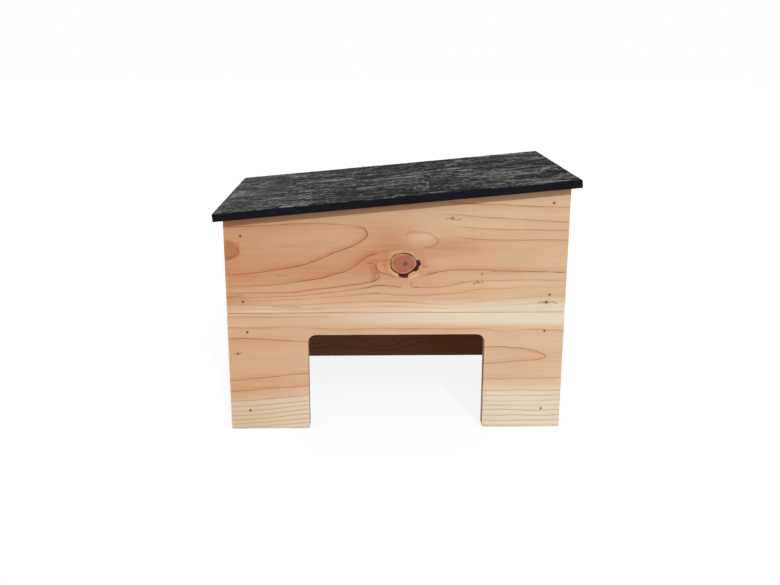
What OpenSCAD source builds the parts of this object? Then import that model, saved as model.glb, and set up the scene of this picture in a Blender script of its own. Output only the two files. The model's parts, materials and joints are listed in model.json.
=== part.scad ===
// Tortoise house: a timber box with no floor, a wide entrance and a sloping roof hinged at the back.
// +X runs to the right as seen from the front, +Y towards the back and +Z up.
// The origin lies on the ground, under the middle of the whole outline. Sizes are in millimetres.

/* [Walls] */
// Width across the front and back boards
body_w = 500; // [420:1:620]
// Depth from the front face to the back face
body_d = 356; // [300:1:460]
// Height of the walls at the low left end, up to the roof
low_h = 323; // [290:1:345]
// Height of the walls at the high right end, up to the roof
high_h = 369; // [350:1:420]
// Height of the lower course of boards
lower_h = 183; // [175:1:215]
// Thickness of every wall board
board_t = 20; // [18:0.5:28]
// Width of the eased edge where the two courses meet
arris = 1; // [0.4:0.1:2]

/* [Entrance] */
// Clear width of the entrance
door_w = 263; // [200:1:290]
// Clear height of the entrance
door_h = 149; // [120:1:160]
// Radius of the entrance's top corners
door_r = 12; // [4:1:40]
// Radius that eases the entrance's bottom corners
foot_r = 3; // [1:0.5:8]

/* [Corner posts] */
// Side of the square posts inside the corners
post_s = 30; // [24:1:45]
// How far the posts stop short of the roof, so that it seats on the boards
post_drop = 4; // [1:1:20]

/* [Roof] */
// Thickness of the strand board
roof_t = 12; // [9:0.5:18]
// Overhang past the front boards
roof_over_front = 14; // [5:1:40]
// Overhang past each side, along the slope
roof_over_side = 13; // [5:1:40]

/* [Nails] */
// Length of a nail
nail_l = 40; // [32:1:46]
// Radius of a nail's shank
nail_r = 0.8; // [0.6:0.1:1.4]
// Radius of a nail's head
nail_head_r = 1.2; // [1:0.1:2.5]
// Height of a nail's head
nail_head_l = 1.5; // [1:0.1:3]
// Length of a nail's point
nail_tip_l = 3; // [2:0.5:5]
// How deep a head is punched below the surface
nail_set = 0.8; // [0.2:0.1:2]
// Distance of the upper course's front and back nails from the posts' outer side
upper_nail_in_post = 4; // [3:0.5:12]
// Distance of the lower course's front and back nails from the posts' outer side
lower_nail_in_post = 9; // [3:0.5:12]
// Height of the lowest nails
nail_from_ground = 30; // [15:1:50]
// Distance of the lower course's upper nails from the seam
nail_below_seam = 29; // [12:1:50]
// Distance of the upper course's lower nails from the seam, at the left end
left_nail_above_seam = 18; // [12:1:50]
// The same at the right end
right_nail_above_seam = 27; // [12:1:50]
// Distance of the topmost nails from the roof, at the left end
left_nail_below_roof = 26; // [15:1:40]
// The same at the right end
right_nail_below_roof = 20; // [15:1:40]
// Height by which the side walls' nails miss the front and back ones
side_nail_shift = 12; // [6:1:20]

/* [Hinges] */
// Distance between the middles of the two hinges
hinge_span = 300; // [200:1:340]
// Length of a hinge
leaf_l = 50; // [44:1:70]
// Thickness of a leaf
leaf_t = 1.5; // [1.4:0.1:2.5]
// Reach of a leaf over the top edge of the back wall
leaf_reach = 16; // [12:0.5:17]
// Outer radius of the barrel
barrel_r = 3; // [2.8:0.1:4.5]
// Number of knuckles, shared by the two leaves
knuckles = 5; // [3:2:7]
// Radius of the pin
pin_r = 1.25; // [0.8:0.05:1.5]
// Radius of the pin's riveted ends
pin_head_r = 2.2; // [1.8:0.1:2.6]
// Height of the pin's riveted ends
pin_head_l = 0.8; // [0.4:0.1:1.5]

/* [Hinge screws] */
// Screws in each leaf
leaf_screws = 3; // [2:1:3]
// Distance between the screws of a leaf
screw_pitch = 16; // [10:0.5:18]
// Radius of a screw's shank
screw_r = 1.5; // [1.2:0.1:1.8]
// Radius of a screw's countersunk head
screw_head_r = 2.8; // [2.3:0.1:2.9]
// Length of a screw's point
screw_tip_l = 2.5; // [1:0.5:4]
// Length of the screws in the back wall
wall_screw_l = 20; // [12:1:30]
// Length of the screws in the roof
roof_screw_l = 8; // [6:0.5:8.5]
// Width of the bars of the cross recess
recess_w = 0.7; // [0.4:0.1:1]
// Length of the bars of the cross recess
recess_l = 3; // [2:0.1:4]
// Depth of the cross recess
recess_d = 0.8; // [0.4:0.1:1.2]

/* [Clearances] */
// Radial clearance round a nail
nail_fit = 0.05; // [0.02:0.01:0.2]
// Radial clearance of the pin in the knuckles
pin_fit = 0.05; // [0.02:0.01:0.1]
// Radial clearance round a screw
screw_fit = 0.1; // [0.05:0.01:0.2]
// Gap between the two closed leaves
leaf_gap = 0.2; // [0.1:0.05:0.5]
// Gap between neighbouring knuckles, and between a knuckle and the other leaf
knuckle_gap = 0.3; // [0.2:0.05:0.6]
// Gap between the barrel and the back wall
barrel_gap = 0.3; // [0.2:0.05:1]
// Clearance round a leaf in its recess
recess_fit = 0.4; // [0.2:0.05:1]
// Gap between the closed roof and the boards' top edges
seat_gap = 0.1; // [0.05:0.05:0.5]

/* [Hidden] */
$fn = 48;
left = -1;
right = 1;
front = -1;
back = 1;
overcut = 1;

slope = atan((high_h - low_h) / body_w);
middle_h = (low_h + high_h) / 2;
barrel_out = barrel_gap + barrel_r;
leaf_seat = leaf_t + leaf_gap / 2;
knuckle_l = leaf_l / knuckles;
pin_l = leaf_l - knuckle_gap;
front_y = (roof_over_front - body_d - barrel_out - barrel_r) / 2;
back_y = front_y + body_d;
roof_l = body_w / cos(slope) + 2 * roof_over_side;
roof_shift = roof_t * tan(slope) / 2;
upper_nail_x = body_w / 2 - board_t - upper_nail_in_post;
lower_nail_x = body_w / 2 - board_t - lower_nail_in_post;
side_nail_in = board_t + post_s / 2;

HEARTWOOD = "#d29b70";
SAPWOOD = "#deb993";
POSTWOOD = "#d8b083";
BLACK_PAINT = "#2c2b2c";
ZINC = "#b9bcc0";
STEEL = "#7c7873";

// Height of the roof's underside above the ground at x
function roof_z(x) = middle_h + x * tan(slope);

// Heights of the lower course's two nails
function lower_levels(shift = 0) = [nail_from_ground + shift, lower_h - nail_below_seam - shift];

// Heights of the upper course's two nails at x
function upper_levels(x, shift = 0) = [
    lower_h + (x < 0 ? left_nail_above_seam : right_nail_above_seam) + shift,
    roof_z(x) - (x < 0 ? left_nail_below_roof : right_nail_below_roof) - shift
];

// Distance of screw k from the middle of its leaf
function screw_x(k) = (k - (leaf_screws - 1) / 2) * screw_pitch;

// Placing

// Extrudes an outline drawn in X and Z, backwards from y
module elevation(y, depth) {
    translate([0, y + depth, 0]) rotate([90, 0, 0]) linear_extrude(depth) children();
}

// Puts the children on the roof's underside: X along the slope, Z square to the roof
module on_roof() {
    translate([0, 0, middle_h]) rotate([0, -slope, 0]) children();
}

// Puts the children on a hinge's axis
module at_hinge(side) {
    on_roof() translate([side * hinge_span / 2, back_y + barrel_out, -leaf_seat]) children();
}

// Puts the children at the nails of the front or back wall, +Z into the wood
module at_face_nails(face) {
    y = face == front ? front_y : back_y;
    for (side = [left, right]) {
        for (z = lower_levels())
            translate([side * lower_nail_x, y, z]) rotate([face * 90, 0, 0]) children();
        for (z = upper_levels(side * upper_nail_x))
            translate([side * upper_nail_x, y, z]) rotate([face * 90, 0, 0]) children();
    }
}

// Puts the children at the nails of the left or right wall, +Z into the wood
module at_side_nails(side) {
    x = side * body_w / 2;
    levels = concat(lower_levels(side_nail_shift), upper_levels(x, side_nail_shift));
    for (y = [front_y + side_nail_in, back_y - side_nail_in], z = levels)
        translate([x, y, z]) rotate([0, -side * 90, 0]) children();
}

// Puts the children at a leaf's screws, +Z into the wood: up into the roof, or down into the wall
module at_screws(side, up) {
    for (k = [0 : leaf_screws - 1])
        at_hinge(side)
            translate([screw_x(k), -barrel_out - leaf_reach / 2, up * leaf_gap / 2])
                rotate([up > 0 ? 0 : 180, 0, 0]) children();
}

// Fasteners and the holes that take them

module nail() {
    straight_l = nail_l - nail_tip_l;
    translate([0, 0, nail_set]) {
        cylinder(r = nail_head_r, h = nail_head_l);
        cylinder(r = nail_r, h = straight_l);
        translate([0, 0, straight_l]) cylinder(r1 = nail_r, r2 = nail_r / 4, h = nail_tip_l);
    }
}

module nail_hole() {
    translate([0, 0, -overcut])
        cylinder(r = nail_head_r + nail_fit, h = overcut + nail_set + nail_head_l + nail_fit);
    cylinder(r = nail_r + nail_fit, h = nail_set + nail_l + nail_fit);
}

module screw(length) {
    head_l = screw_head_r - screw_r;
    straight_l = length - screw_tip_l;
    difference() {
        union() {
            cylinder(r1 = screw_head_r, r2 = screw_r, h = head_l);
            cylinder(r = screw_r, h = straight_l);
            translate([0, 0, straight_l]) cylinder(r1 = screw_r, r2 = screw_r / 4, h = screw_tip_l);
        }
        for (turn = [0, 90])
            rotate(turn) cube([recess_l, recess_w, 2 * recess_d], center = true);
    }
}

// Countersunk through a leaf, then straight into the wood
module screw_hole(length) {
    cylinder(r1 = screw_head_r + screw_fit, r2 = screw_r + screw_fit, h = screw_head_r - screw_r);
    translate([0, 0, -overcut]) cylinder(r = screw_r + screw_fit, h = overcut + length + screw_fit);
}

// Walls

module lower_outline(x0, x1) {
    polygon([[x0, 0], [x1, 0], [x1, lower_h], [x0, lower_h]]);
}

module upper_outline(x0, x1) {
    polygon([[x0, lower_h], [x1, lower_h], [x1, roof_z(x1) - seat_gap], [x0, roof_z(x0) - seat_gap]]);
}

// Cuts a convex corner at the origin to an arc, for material in the quarter that side and +Y span
module corner_cut(r, side) {
    difference() {
        translate([side > 0 ? 0 : -r, 0]) square(r);
        translate([side * r, r]) circle(r);
    }
}

module entrance_outline() {
    translate([-door_w / 2, -overcut]) square([door_w, door_h - door_r + overcut]);
    translate([door_r - door_w / 2, 0]) square([door_w - 2 * door_r, door_h]);
    for (side = [left, right]) {
        translate([side * (door_w / 2 - door_r), door_h - door_r]) circle(door_r);
        translate([side * door_w / 2, 0]) corner_cut(foot_r, side);
    }
}

// The eased edges of the front or back wall's two courses, as one V groove along the seam
module face_seam(face) {
    v = arris * sqrt(2);
    translate([0, face == front ? front_y : back_y, lower_h])
        rotate([45, 0, 0]) cube([body_w + 2 * overcut, v, v], center = true);
}

// The same along a side wall
module side_seam(side) {
    v = arris * sqrt(2);
    translate([side * body_w / 2, (front_y + back_y) / 2, lower_h])
        rotate([0, 45, 0]) cube([v, body_d, v], center = true);
}

module front_upper_board() {
    color(HEARTWOOD) difference() {
        elevation(front_y, board_t) upper_outline(-body_w / 2, body_w / 2);
        face_seam(front);
        at_face_nails(front) nail_hole();
    }
}

module front_lower_board() {
    color(SAPWOOD) difference() {
        elevation(front_y, board_t) difference() {
            lower_outline(-body_w / 2, body_w / 2);
            entrance_outline();
        }
        face_seam(front);
        at_face_nails(front) nail_hole();
    }
}

module back_upper_board() {
    color(HEARTWOOD) difference() {
        elevation(back_y - board_t, board_t) upper_outline(-body_w / 2, body_w / 2);
        face_seam(back);
        at_face_nails(back) nail_hole();
        for (side = [left, right]) {
            leaf_recess(side);
            at_screws(side, -1) screw_hole(wall_screw_l);
        }
    }
}

module back_lower_board() {
    color(SAPWOOD) difference() {
        elevation(back_y - board_t, board_t) lower_outline(-body_w / 2, body_w / 2);
        face_seam(back);
        at_face_nails(back) nail_hole();
    }
}

module side_upper_board(side) {
    x = side * body_w / 2;
    color(HEARTWOOD) difference() {
        elevation(front_y + board_t, body_d - 2 * board_t)
            upper_outline(min(x, x - side * board_t), max(x, x - side * board_t));
        side_seam(side);
        at_side_nails(side) nail_hole();
    }
}

module side_lower_board(side) {
    x = side * body_w / 2;
    color(SAPWOOD) difference() {
        elevation(front_y + board_t, body_d - 2 * board_t)
            lower_outline(min(x, x - side * board_t), max(x, x - side * board_t));
        side_seam(side);
        at_side_nails(side) nail_hole();
    }
}

module corner_post(side, face) {
    x_out = side * (body_w / 2 - board_t);
    x0 = min(x_out, x_out - side * post_s);
    x1 = x0 + post_s;
    y = face == front ? front_y + board_t : back_y - board_t - post_s;
    color(POSTWOOD) difference() {
        elevation(y, post_s)
            polygon([[x0, 0], [x1, 0], [x1, roof_z(x1) - post_drop], [x0, roof_z(x0) - post_drop]]);
        at_face_nails(face) nail_hole();
        at_side_nails(side) nail_hole();
    }
}

module face_nails(face) {
    color(STEEL) at_face_nails(face) nail();
}

module side_nails(side) {
    color(STEEL) at_side_nails(side) nail();
}

// Roof

module roof_panel() {
    color(BLACK_PAINT) difference() {
        on_roof() translate([roof_shift - roof_l / 2, front_y - roof_over_front, 0])
            cube([roof_l, roof_over_front + body_d, roof_t]);
        for (side = [left, right]) at_screws(side, 1) screw_hole(roof_screw_l);
    }
}

// Hinges

// The recess in the back wall's top edge that takes both closed leaves
module leaf_recess(side) {
    at_hinge(side)
        translate([-leaf_l / 2 - recess_fit, -barrel_out - leaf_reach - recess_fit, -leaf_seat])
            cube([leaf_l + 2 * recess_fit, leaf_reach + recess_fit + overcut, 2 * leaf_seat + overcut]);
}

// One leaf: its plate lies above the axis on the roof (up = 1) or below it on the wall (up = -1)
module hinge_leaf(side, up) {
    plate_z = up > 0 ? leaf_gap / 2 : -leaf_seat;
    plate_end = barrel_r + knuckle_gap;
    first = up > 0 ? 1 : 0;
    ring_l = knuckle_l - knuckle_gap;
    color(ZINC) difference() {
        at_hinge(side) {
            translate([-leaf_l / 2, -barrel_out - leaf_reach, plate_z])
                cube([leaf_l, barrel_out + leaf_reach - plate_end, leaf_t]);
            for (k = [first : 2 : knuckles - 1])
                translate([k * knuckle_l + (knuckle_gap - leaf_l) / 2, 0, 0]) {
                    rotate([0, 90, 0]) cylinder(r = barrel_r, h = ring_l);
                    translate([0, -plate_end, plate_z]) cube([ring_l, plate_end, leaf_t]);
                }
        }
        at_hinge(side) translate([-leaf_l / 2 - overcut, 0, 0])
            rotate([0, 90, 0]) cylinder(r = pin_r + pin_fit, h = leaf_l + 2 * overcut);
        at_screws(side, up) screw_hole(up > 0 ? roof_screw_l : wall_screw_l);
    }
}

module hinge_pin(side) {
    color(ZINC) at_hinge(side) rotate([0, 90, 0]) {
        translate([0, 0, -pin_l / 2 - pin_head_l]) cylinder(r = pin_head_r, h = pin_head_l);
        translate([0, 0, -pin_l / 2]) cylinder(r = pin_r, h = pin_l);
        translate([0, 0, pin_l / 2]) cylinder(r = pin_head_r, h = pin_head_l);
    }
}

module hinge_screws(up) {
    color(ZINC) for (side = [left, right])
        at_screws(side, up) screw(up > 0 ? roof_screw_l : wall_screw_l);
}

front_upper_board();
front_lower_board();
back_upper_board();
back_lower_board();
side_upper_board(left);  // left_upper_board
side_lower_board(left);  // left_lower_board
side_upper_board(right);  // right_upper_board
side_lower_board(right);  // right_lower_board
corner_post(left, front);  // front_left_post
corner_post(right, front);  // front_right_post
corner_post(left, back);  // back_left_post
corner_post(right, back);  // back_right_post
face_nails(front);  // front_nails
face_nails(back);  // back_nails
side_nails(left);  // left_nails
side_nails(right);  // right_nails
roof_panel();
hinge_leaf(left, -1);  // left_hinge_wall_leaf
hinge_leaf(right, -1);  // right_hinge_wall_leaf
hinge_leaf(left, 1);  // left_hinge_roof_leaf
hinge_leaf(right, 1);  // right_hinge_roof_leaf
hinge_pin(left);  // left_hinge_pin
hinge_pin(right);  // right_hinge_pin
hinge_screws(-1);  // wall_hinge_screws
hinge_screws(1);  // roof_hinge_screws
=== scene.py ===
"""Looks of the tortoise house: fir boards and posts, a black strand-board roof, zinc hinges and nails.

Lengths are in millimetres until a mesh is made. +X runs to the right as seen from the front, +Y to the
back and +Z up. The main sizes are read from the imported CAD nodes.
"""

import cmath
import json
import math
from collections.abc import Callable
from dataclasses import dataclass
from functools import partialmethod

import bpy
import numpy as np
from mathutils import Matrix, Vector
from mathutils.geometry import delaunay_2d_cdt


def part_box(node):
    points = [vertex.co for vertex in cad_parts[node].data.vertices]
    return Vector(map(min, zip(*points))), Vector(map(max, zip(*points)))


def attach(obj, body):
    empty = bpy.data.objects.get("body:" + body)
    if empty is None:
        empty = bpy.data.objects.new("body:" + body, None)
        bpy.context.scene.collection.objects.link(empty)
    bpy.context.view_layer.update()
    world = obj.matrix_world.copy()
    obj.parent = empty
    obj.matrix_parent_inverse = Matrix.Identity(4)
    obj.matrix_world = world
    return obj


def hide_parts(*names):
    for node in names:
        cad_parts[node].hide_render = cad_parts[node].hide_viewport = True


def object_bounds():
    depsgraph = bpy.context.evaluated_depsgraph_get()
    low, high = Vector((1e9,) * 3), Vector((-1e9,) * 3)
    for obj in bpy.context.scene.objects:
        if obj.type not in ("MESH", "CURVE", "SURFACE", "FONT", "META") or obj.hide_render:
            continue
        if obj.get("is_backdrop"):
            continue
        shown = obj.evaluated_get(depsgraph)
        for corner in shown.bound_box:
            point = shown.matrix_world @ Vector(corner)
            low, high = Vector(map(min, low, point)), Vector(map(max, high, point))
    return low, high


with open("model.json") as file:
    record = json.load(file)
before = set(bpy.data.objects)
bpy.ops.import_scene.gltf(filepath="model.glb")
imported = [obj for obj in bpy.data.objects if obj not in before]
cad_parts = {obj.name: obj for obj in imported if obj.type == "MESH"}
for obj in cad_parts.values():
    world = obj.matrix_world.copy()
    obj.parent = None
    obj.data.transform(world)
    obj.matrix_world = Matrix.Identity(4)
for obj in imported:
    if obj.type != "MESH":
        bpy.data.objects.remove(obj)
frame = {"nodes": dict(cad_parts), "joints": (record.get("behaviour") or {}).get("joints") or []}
cad_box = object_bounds()

MM = 0.001
TURN = 6.28  # about a full turn, in radians


# Sizes of the house, read from the CAD nodes

def box_mm(node):
    low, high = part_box(node)
    return np.array(low) / MM, np.array(high) / MM


front_low, front_high = box_mm("front_lower_board")
HALF = (front_high[0] - front_low[0]) / 2
LOWER_H = front_high[2]
HIGH_TOP = box_mm("front_upper_board")[1][2]
BOARD_T = front_high[1] - front_low[1]
FRONT_Y = front_low[1]
BACK_Y = box_mm("back_lower_board")[1][1]
hinge_axis = frame["joints"][0]["axis"]
SLOPE = math.atan(hinge_axis[2] / hinge_axis[0])


def wall_top(x):
    """Height of the boards' top edge at x."""
    return HIGH_TOP + (x - HALF) * math.tan(SLOPE)


# Shader nodes

def linear(*levels):
    """A screen's colour, from 0 to 255, in the linear values that shaders take."""
    shares = [level / 255 for level in levels]
    return (*(s / 12.92 if s <= 0.04045 else ((s + 0.055) / 1.055) ** 2.4 for s in shares), 1.0)


class Nodes:
    """Adds nodes to a tree."""

    def __init__(self, tree):
        self.tree = tree

    def put(self, socket, value):
        """Fills an input. Three numbers are a screen's colour, and four a linear one."""
        if isinstance(value, Value):
            self.tree.links.new(value.socket, socket)
        elif socket.type == "RGBA" and len(value) == 3:
            socket.default_value = linear(*value)
        else:
            socket.default_value = value

    def node(self, kind, inputs=(), output=0, **settings):
        """Adds a node with these inputs, listed or named, and gives one output's value."""
        made = self.tree.nodes.new("ShaderNode" + kind)
        for name, setting in settings.items():
            setattr(made, name, setting)
        named = inputs if isinstance(inputs, dict) else dict(enumerate(inputs))
        for name, value in named.items():
            self.put(made.inputs[name], value)
        return Value(self.tree, made.outputs[output])


class Value(Nodes):
    """What a node gives. Arithmetic and the calls below add nodes that work on it."""

    def __init__(self, tree, socket):
        super().__init__(tree)
        self.socket = socket

    def math(self, operation, *others):
        return self.node("Math", [self, *others], operation=operation)

    __add__ = __radd__ = partialmethod(math, "ADD")
    __sub__ = partialmethod(math, "SUBTRACT")
    __mul__ = __rmul__ = partialmethod(math, "MULTIPLY")
    __truediv__ = partialmethod(math, "DIVIDE")
    __pow__ = partialmethod(math, "POWER")
    __abs__ = partialmethod(math, "ABSOLUTE")
    at_least = partialmethod(math, "MAXIMUM")
    at_most = partialmethod(math, "MINIMUM")

    def __rsub__(self, other):
        return self * -1 + other

    def fade(self, start, end, at_start=0, at_end=1):
        """Runs smoothly from at_start to at_end while the value runs from start to end."""
        ends = [self, start, end, at_start, at_end]
        return self.node("MapRange", ends, interpolation_type="SMOOTHSTEP")

    def noise(self, stretch, detail=2, roughness=0.5, distortion=0):
        """Noise at a place whose three parts are multiplied first."""
        place = self.node("VectorMath", [self, stretch], operation="MULTIPLY")
        inputs = dict(Vector=place, Scale=1, Detail=detail, Roughness=roughness, Distortion=distortion)
        return self.node("TexNoise", inputs)

    def random(self):
        return self.node("TexWhiteNoise", {"W": self}, noise_dimensions="1D")

    def mix(self, a, b):
        """Colour a where the value is 0, and b where it is 1."""
        return self.node("Mix", {0: self, 6: a, 7: b}, 2, data_type="RGBA")

    def tinted(self, tint):
        """This colour times a tint."""
        return self.node("Mix", {0: 1, 6: self, 7: tint}, 2, data_type="RGBA", blend_type="MULTIPLY")

    def darkened(self, tint, amount):
        """This colour times a tint to the power of the amount."""
        return self.tinted(self.node("Gamma", {"Color": tint, "Gamma": amount}))

    def bump(self, strength, distance):
        return self.node("Bump", dict(Height=self, Strength=strength, Distance=distance))


class Shader(Nodes):
    """The nodes of a material or of the world, which end in a main shader."""

    def __init__(self, owner, main="Principled BSDF"):
        owner.use_nodes = True
        super().__init__(owner.node_tree)
        self.owner = owner
        self.main = self.tree.nodes[main]

    def read(self, name, output="Fac"):
        """What the mesh carries at its points under this name."""
        return self.node("Attribute", (), output, attribute_name=name)

    def seen(self):
        """1 where the camera sees the surface, also by a mirror or glass, and 0 for other light."""
        kinds = "Camera", "Glossy", "Transmission"
        straight, mirror, glass = (self.node("LightPath", (), f"Is {kind} Ray") for kind in kinds)
        return straight.at_least(mirror.at_least(glass))

    def set(self, **values):
        """Sets the main shader's inputs, named with _ for a space, and gives the material or world."""
        for name, value in values.items():
            self.put(self.main.inputs[name.replace("_", " ")], value)
        return self.owner


def material(name):
    return Shader(bpy.data.materials.new(name))


# Growth rings

# A board's figure is a smooth field that passes through whole numbers along its rings' dark edges.
# Places are (along the board, height) on the outer face.
FRONT_UPPER_RINGS = {
    -0.45: [(-245, 279), (-130, 289), (-90, 296)],
    0: [(-250, 313), (-150, 317), (-78, 315.5), (-56, 314.5), (-46, 310), (-43, 305), (-44, 297),
        (-53, 290), (-68, 282), (-104, 268), (-137, 255.5), (-188, 247), (-250, 241)],
    1: [(-250, 333), (-150, 335), (-60, 330), (-16, 318), (-26, 274), (-37, 271), (-48, 265), (-59, 256),
        (-68, 249.5), (-97, 241), (-149, 231), (-189, 226), (-250, 226)],
    1.5: [(36, 276), (110, 270), (245, 268)],
    2: [(-250, 213), (-149, 214), (-97, 221), (-50, 226.5), (-37, 230.5), (-28, 234.5), (52, 242.5),
        (65, 246), (103, 248.5), (177, 246), (253, 243.5), (102, 295.5), (157, 293), (252, 292.5)],
    3: [(-247, 206.5), (-170, 208.5), (-120, 212.5), (-61, 219.5), (-42, 222), (-33, 225), (-22, 225),
        (-5, 223), (6, 221), (28, 222), (50, 221), (71, 222.5), (96, 228), (107, 230.5), (150, 231),
        (250, 231), (91, 312.5), (138, 309), (250, 307)],
    4: [(-247, 201.5), (-160, 205), (-105, 207.5), (-26, 212.5), (-7, 210.5), (30, 209.5), (67, 212),
        (122, 218.5), (197, 222), (250, 222), (34, 335), (83, 331), (138, 326), (210, 321.5), (251, 319)],
    5: [(-247, 197), (-153, 194), (-98, 197.5), (-52, 200), (-7, 200), (49, 196.5), (80, 195), (112, 198.5),
        (179, 204), (249, 207.5), (108, 346.5), (173, 343.5), (250, 341)],
    6.4: [(-250, 189), (-100, 188), (0, 190), (80, 187.5), (160, 191), (250, 197)],
    7.4: [(-250, 183), (0, 183.5), (80, 182), (250, 188)],
}

FRONT_LOWER_RINGS = {
    -0.6: [(-190, 115), (-140, 116), (140, 116), (195, 115.5)],
    0: [(-232, 145.5), (-149, 140), (-132, 139.5), (133, 128.5), (153, 130.5), (172, 128), (212, 120.5),
        (228, 114.5), (192, 108), (175, 106), (133, 102.5), (-201, 82), (-250, 77.5)],
    0.5: [(245, 115)],
    1: [(-250, 161.5), (-222, 160.5), (-155, 161.5), (-74, 158), (-18, 160), (8, 159), (46, 159.5),
        (77, 158), (124, 159), (151, 154.5), (166, 154), (196, 157.5), (226, 155.5), (250, 155.5),
        (134, 78.5), (165, 78), (222, 79), (249, 79.5), (-133, 69.5), (-198, 65), (-250, 60.5)],
    2: [(135, 59), (165, 58.5), (190, 60.5), (209, 58.5), (250, 58.5), (-134, 52.5), (-217, 45.5),
        (-250, 177), (-100, 176), (0, 175), (250, 176)],
    3: [(135, 52), (175, 52), (250, 52.5), (-250, 35), (-250, 183), (250, 183)],
    4: [(160, 41.5), (250, 43.5)],
    5: [(-134, 31)],
    6: [(163, 29), (186, 27), (-190, 17.5)],
    7: [(161, 18), (178, 20), (211, 18), (251, 19.5)],
    8: [(-250, 0.5)],
    9: [(132, 3), (251, 3), (-134, 2)],
}

GRAIN_PULL = 0.3  # a ring's field counts a step along the grain as this much of one across it
STIFFNESS = 0.002  # lets the field miss its places a little, to stay smooth
OPENING = 0.012  # how much a ring opens out for each millimetre behind the face


def thin_plate(here, there):
    """What a thin plate bent at each place there gives at each place here."""
    squared = ((here[:, None] - there[None]) ** 2).sum(-1)
    return 0.5 * squared * np.log(squared + 1e-12)


def flat_plate(here):
    return np.column_stack([np.ones(len(here)), here])


def smooth_field(lines, middle):
    """The smoothest field that has each value at its places.
    Behind the face it opens out from a middle height."""
    scale = np.array([GRAIN_PULL, 1.0]) / 100
    points = np.array([place for line in lines.values() for place in line], float) * scale
    values = [value for value, line in lines.items() for _ in line]
    count = len(points)
    flat = flat_plate(points)
    bent = thin_plate(points, points) + STIFFNESS * np.eye(count)
    weights = np.linalg.solve(np.block([[bent, flat], [flat.T, np.zeros((3, 3))]]), values + [0, 0, 0])

    def field(along, across, into):
        asked = np.stack([along, middle + (across - middle) * (1 + OPENING * into)], 1) * scale
        return thin_plate(asked, points) @ weights[:count] + flat_plate(asked) @ weights[count:]
    return field


def sawn_rings(seed, middle, knots):
    """A board sawn beside the log's middle: nested arches along it, wavy and bent round its knots,
    and arcs round the log's middle on its ends."""
    rng = np.random.default_rng(seed)
    lean = rng.choice([-1, 1]) * rng.uniform(0.07, 0.12)
    depth = rng.uniform(34, 46)
    spacing = rng.uniform(8.5, 11)
    waves = [(rng.uniform(90, 320), rng.uniform(60, 200), rng.uniform(0, TURN)) for _ in range(5)]

    def field(along, across, into):
        valley = middle + 12 * np.sin(along / 170 + waves[0][2])
        below = depth + lean * along - 0.8 * into
        level = np.hypot(across - valley, below) / spacing
        for length, height, phase in waves:
            level = level + 0.16 * np.sin(TURN * (along / length + across / height) + phase)
        for knot in knots:
            wide, high = np.array([2.4, 1.5]) * knot.half.max()
            level = level + 1.7 * bulge(along, across, *knot.at, wide, high)
        return level + 0.4 * np.sin(1.6 * level + waves[1][2])
    return field


def straight_rings(seed):
    """A post sawn from the log's edge: nearly straight lines along it."""
    rng = np.random.default_rng(seed)
    spacing = rng.uniform(3.2, 4.6)
    phase = rng.uniform(0, TURN)

    def field(along, across, into):
        return (across + 0.6 * into + 2.2 * np.sin(along / 140 + phase) + 0.012 * along) / spacing
    return field


def bulge(along, across, a, b, wide, high):
    """A soft hump, 1 high at (a, b), with these half sizes."""
    return np.exp(-((along - a) / wide) ** 2 - ((across - b) / high) ** 2)


def smooth(value, start, end):
    share = np.clip((value - start) / (end - start), 0, 1)
    return share * share * (3 - 2 * share)


def window(value, start, full, fading, end):
    """Rises smoothly to 1 and falls back to 0."""
    return smooth(value, start, full) * (1 - smooth(value, fading, end))


# Solid pieces

EDGE_STEP = 4  # points round an outline are no further apart
SIDE_STEP = 6  # about the height of the rows of faces down a plate's side
INNER_STEP = 5  # a plate's inner face has no finer triangles
ARRIS_RINGS = 4
ROW = 0.87  # rows of points lie this share of a step apart, for triangles with equal sides
CLEAR = 0.6  # no point inside an outline lies nearer to its edge
WEAR = 0.45  # how unevenly an edge is eased, as a share of its arris
NAIL_R = 1.25
NAIL_PIT = 2.3
PIT_SIDES = 14
RECESS_SLANT = 0.2  # how far a recess's inner end leans back


class Placing:
    """Where a piece's own axes lie: a and b along its outer face, c from that face into the piece.
    A lean (bottom, top, rise) tilts its top edge, b = top, up by rise for each step of c."""

    def __init__(self, origin, a, b, c, lean=None):
        self.origin = np.array(origin, float)
        self.axes = np.array([a, b, c], float)
        self.lean = lean
        self.flipped = np.linalg.det(self.axes) > 0

    def world(self, points):
        points = points.copy()
        if self.lean:
            bottom, top, rise = self.lean
            points[:, 1] += points[:, 2] * rise * (points[:, 1] - bottom) / (top - bottom)
        return self.origin + points @ self.axes


def rounded(corners, step):
    """Points round an outline whose corners (a, b, radius) are arcs, no more than a step apart."""
    places = [complex(a, b) for a, b, _ in corners]
    points = []
    for k, (here, (_, _, radius)) in enumerate(zip(places, corners)):
        beside = places[k - 1], places[(k + 1) % len(places)]
        to_last, to_next = ((there - here) / abs(there - here) for there in beside)
        half = abs(cmath.phase(to_next / to_last)) / 2
        middle = to_last + to_next
        centre = here + middle / abs(middle) * radius / math.sin(half)
        first, last = (here + way * radius / math.tan(half) - centre for way in (to_last, to_next))
        sweep = cmath.phase(last / first)
        pieces = 3 if radius < 2 else 8
        points += [centre + first * cmath.exp(1j * sweep * j / pieces) for j in range(pieces + 1)]
    filled = []
    for here, there in zip(points, points[1:] + points[:1]):
        parts = max(1, math.ceil(abs(there - here) / step))
        filled.extend(np.linspace(here, there, parts, endpoint=False))
    return np.column_stack([np.real(filled), np.imag(filled)])


def inward(loop):
    """At each point of an outline, the way that moves both of its edges inwards by 1."""
    ahead = np.roll(loop, -1, 0) - loop
    normal = np.stack([-ahead[:, 1], ahead[:, 0]], 1)
    normal /= np.linalg.norm(normal, axis=1)[:, None]
    before = np.roll(normal, 1, 0)
    return (normal + before) / (1 + (normal * before).sum(1))[:, None]


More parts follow.
